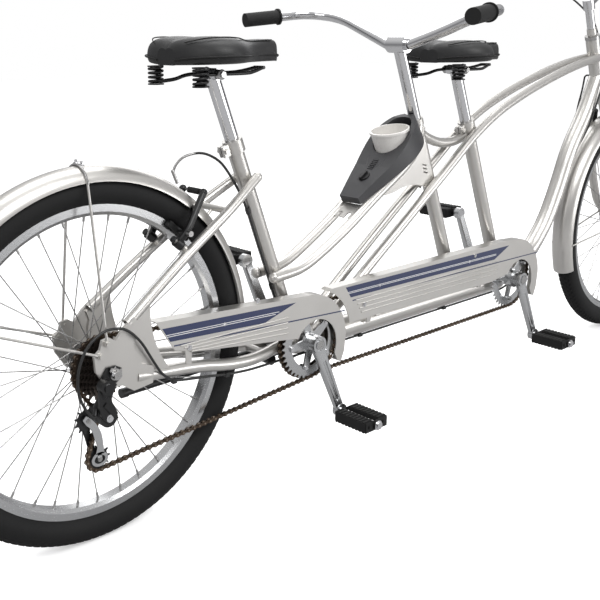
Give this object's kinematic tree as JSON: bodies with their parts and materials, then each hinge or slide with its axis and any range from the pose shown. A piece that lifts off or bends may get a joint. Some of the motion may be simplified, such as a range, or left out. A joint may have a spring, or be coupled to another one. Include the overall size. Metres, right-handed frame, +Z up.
{
  "type": "tandem bicycle",
  "caption": "Two-seat cruiser bicycle with an open frame, two crank sets joined by a timing chain, fenders, chain guards, rim brakes and a cup console.",
  "frame": {"origin": "middle of the rear axle", "axes": "+X towards the front wheel, +Y to the riders' left, +Z up; the ground is 0.336 m below the origin"},
  "size_m": [2.5779, 0.7656, 1.1009],
  "materials": {
    "paint": "satin silver metallic paint",
    "chrome": "bright chrome",
    "steel": "zinc plated",
    "alloy": "polished",
    "black_alloy": "black, satin",
    "chain": "oiled brown steel",
    "tyre": "black rubber",
    "rubber": "matt black",
    "black_plastic": "matt black",
    "grey_plastic": "dark grey, fine grain",
    "white_plastic": "off white, glossy",
    "saddle": "black vinyl",
    "cable": "black cable housing"
  },
  "bodies": {
    "frame": {"boom_tube": "paint", "head_and_down_tube": "paint", "stoker_seat_tube": "paint", "captain_seat_tube": "paint", "stoker_bar_tube": "paint", "lateral_tubes": "paint", "console_tubes": "paint", "chainstays": "paint", "seatstays": "paint", "dropouts": "paint", "rear_axle": "steel", "bearing_cups": "steel", "chain_guard_rear": "paint", "chain_guard_front": "paint", "rear_fender": "paint", "derailleur": "black_alloy", "timing_chain": "chain", "drive_chain": "chain", "rear_brake_cable": "cable", "shift_cable": "cable", "stoker_handlebar": "chrome", "stoker_grips": "rubber", "console_body": "grey_plastic", "stand_bracket": "black_alloy"},
    "rear_wheel": {"rear_tyre": "tyre", "rear_rim": "alloy", "rear_hub_and_spokes": "steel"},
    "freewheel": {"freewheel": "chain"},
    "derailleur_cage": {"derailleur_cage": "black_alloy"},
    "stoker_cranks": {"stoker_crankset": "alloy", "stoker_chainrings": "alloy"},
    "captain_cranks": {"captain_crankset": "alloy", "captain_chainring": "black_alloy"},
    "stoker_pedal_right": {"stoker_pedal_right": "rubber"},
    "stoker_pedal_left": {"stoker_pedal_left": "rubber"},
    "captain_pedal_right": {"captain_pedal_right": "rubber"},
    "captain_pedal_left": {"captain_pedal_left": "rubber"},
    "steering": {"fork": "paint", "front_fender": "paint", "captain_stem": "chrome", "captain_handlebar": "chrome", "captain_grips": "rubber", "control_cables": "cable"},
    "front_wheel": {"front_tyre": "tyre", "front_rim": "alloy", "front_hub_and_spokes": "steel"},
    "grip_shifter": {"grip_shifter": "black_plastic"},
    "brake_lever_right": {"brake_lever_right": "black_alloy"},
    "brake_lever_left": {"brake_lever_left": "black_alloy"},
    "front_brake_arm_right": {"front_brake_arm_right": "black_alloy"},
    "front_brake_arm_left": {"front_brake_arm_left": "black_alloy"},
    "rear_brake_arm_right": {"rear_brake_arm_right": "black_alloy"},
    "rear_brake_arm_left": {"rear_brake_arm_left": "black_alloy"},
    "stoker_seat": {"stoker_seat_post": "chrome", "stoker_saddle": "saddle"},
    "captain_seat": {"captain_seat_post": "chrome", "captain_saddle": "saddle"},
    "console_cup": {"console_cup": "white_plastic"},
    "console_knob": {"console_knob": "black_plastic"},
    "stand": {"stand": "black_alloy"}
  },
  "joints": [
    {"name": "steer", "type": "hinge", "parent": "frame", "child": "steering", "pos_m": [1.8418, 0, 0], "axis": [-0.3584, 0, 0.9336], "range_deg": [-35, 35]},
    {"name": "rear_wheel_spin", "type": "hinge", "parent": "frame", "child": "rear_wheel", "pos_m": [0, 0, 0], "axis": [0, 1, 0], "continuous": true},
    {"name": "front_wheel_spin", "type": "hinge", "parent": "steering", "child": "front_wheel", "pos_m": [1.89, 0, 0], "axis": [0, 1, 0], "continuous": true},
    {"name": "freewheel_spin", "type": "hinge", "parent": "frame", "child": "freewheel", "pos_m": [0, 0, 0], "axis": [0, 1, 0], "continuous": true},
    {"name": "stoker_crank", "type": "hinge", "parent": "frame", "child": "stoker_cranks", "pos_m": [0.495, 0, -0.0635], "axis": [0, 1, 0], "continuous": true},
    {"name": "captain_crank", "type": "hinge", "parent": "frame", "child": "captain_cranks", "pos_m": [1.2415, 0, -0.0635], "axis": [0, 1, 0], "continuous": true},
    {"name": "stoker_pedal_right", "type": "hinge", "parent": "stoker_cranks", "child": "stoker_pedal_right", "pos_m": [0.55509, 0, -0.22253], "axis": [0, 1, 0], "continuous": true},
    {"name": "stoker_pedal_left", "type": "hinge", "parent": "stoker_cranks", "child": "stoker_pedal_left", "pos_m": [0.43491, 0, 0.09552], "axis": [0, 1, 0], "continuous": true},
    {"name": "captain_pedal_right", "type": "hinge", "parent": "captain_cranks", "child": "captain_pedal_right", "pos_m": [1.30159, 0, -0.22253], "axis": [0, 1, 0], "continuous": true},
    {"name": "captain_pedal_left", "type": "hinge", "parent": "captain_cranks", "child": "captain_pedal_left", "pos_m": [1.18141, 0, 0.09552], "axis": [0, 1, 0], "continuous": true},
    {"name": "cage_swing", "type": "hinge", "parent": "frame", "child": "derailleur_cage", "pos_m": [-0.021, 0, -0.072], "axis": [0, 1, 0], "range_deg": [-20, 0], "stiffness_Nm_per_rad": 0.6, "springref_deg": 34.38, "deforming": ["drive_chain"]},
    {"name": "brake_lever_right", "type": "hinge", "parent": "steering", "child": "brake_lever_right", "pos_m": [1.59467, -0.32536, 0.74635], "axis": [0, 0, 1], "range_deg": [-13, 0], "stiffness_Nm_per_rad": 0.6, "springref_deg": 28.65},
    {"name": "brake_lever_left", "type": "hinge", "parent": "steering", "child": "brake_lever_left", "pos_m": [1.59467, 0.32536, 0.74635], "axis": [0, 0, 1], "range_deg": [0, 13], "stiffness_Nm_per_rad": 0.6, "springref_deg": -28.65},
    {"name": "rear_brake_right", "type": "hinge", "parent": "frame", "child": "rear_brake_arm_right", "pos_m": [0.16455, -0.043, 0.198], "axis": [-0.766, 0, 0.6428], "range_deg": [0, 3]},
    {"name": "rear_brake_left", "type": "hinge", "parent": "frame", "child": "rear_brake_arm_left", "pos_m": [0.16455, 0.043, 0.198], "axis": [-0.766, 0, 0.6428], "range_deg": [-3, 0]},
    {"name": "front_brake_right", "type": "hinge", "parent": "steering", "child": "front_brake_arm_right", "pos_m": [1.78444, -0.043, 0.22756], "axis": [0.9336, 0, 0.3584], "range_deg": [-3, 0]},
    {"name": "front_brake_left", "type": "hinge", "parent": "steering", "child": "front_brake_arm_left", "pos_m": [1.78444, 0.043, 0.22756], "axis": [0.9336, 0, 0.3584], "range_deg": [0, 3]},
    {"name": "grip_shifter_twist", "type": "hinge", "parent": "steering", "child": "grip_shifter", "pos_m": [1.55973, -0.30204, 0.74394], "axis": [0.9754, 0.2048, 0.0816], "range_deg": [-90, 0]},
    {"name": "stoker_seat_height", "type": "slide", "parent": "frame", "child": "stoker_seat", "axis": [-0.3584, 0, 0.9336], "range_m": [-0.05, 0.05]},
    {"name": "captain_seat_height", "type": "slide", "parent": "frame", "child": "captain_seat", "axis": [-0.3811, 0, 0.9245], "range_m": [-0.05, 0.05]},
    {"name": "cup_lift", "type": "slide", "parent": "frame", "child": "console_cup", "axis": [-0.2079, 0, 0.9781], "range_m": [0, 0.12]},
    {"name": "knob_turn", "type": "hinge", "parent": "frame", "child": "console_knob", "pos_m": [0.712, 0, 0.24977], "axis": [-0.5446, 0, 0.8387], "range_deg": [0, 180]},
    {"name": "stand_swing", "type": "hinge", "parent": "frame", "child": "stand", "pos_m": [0.424, 0.052, -0.098], "axis": [0, 1, 0], "range_deg": [-46, 0]}
  ],
  "couplings": [
    {"joint": "captain_crank", "follows": "stoker_crank", "ratio": 1},
    {"joint": "freewheel_spin", "follows": "stoker_crank", "ratio": 1.3571},
    {"joint": "rear_brake_right", "follows": "brake_lever_right", "ratio": -0.21},
    {"joint": "rear_brake_left", "follows": "brake_lever_right", "ratio": 0.21},
    {"joint": "front_brake_right", "follows": "brake_lever_left", "ratio": -0.21},
    {"joint": "front_brake_left", "follows": "brake_lever_left", "ratio": 0.21}
  ]
}
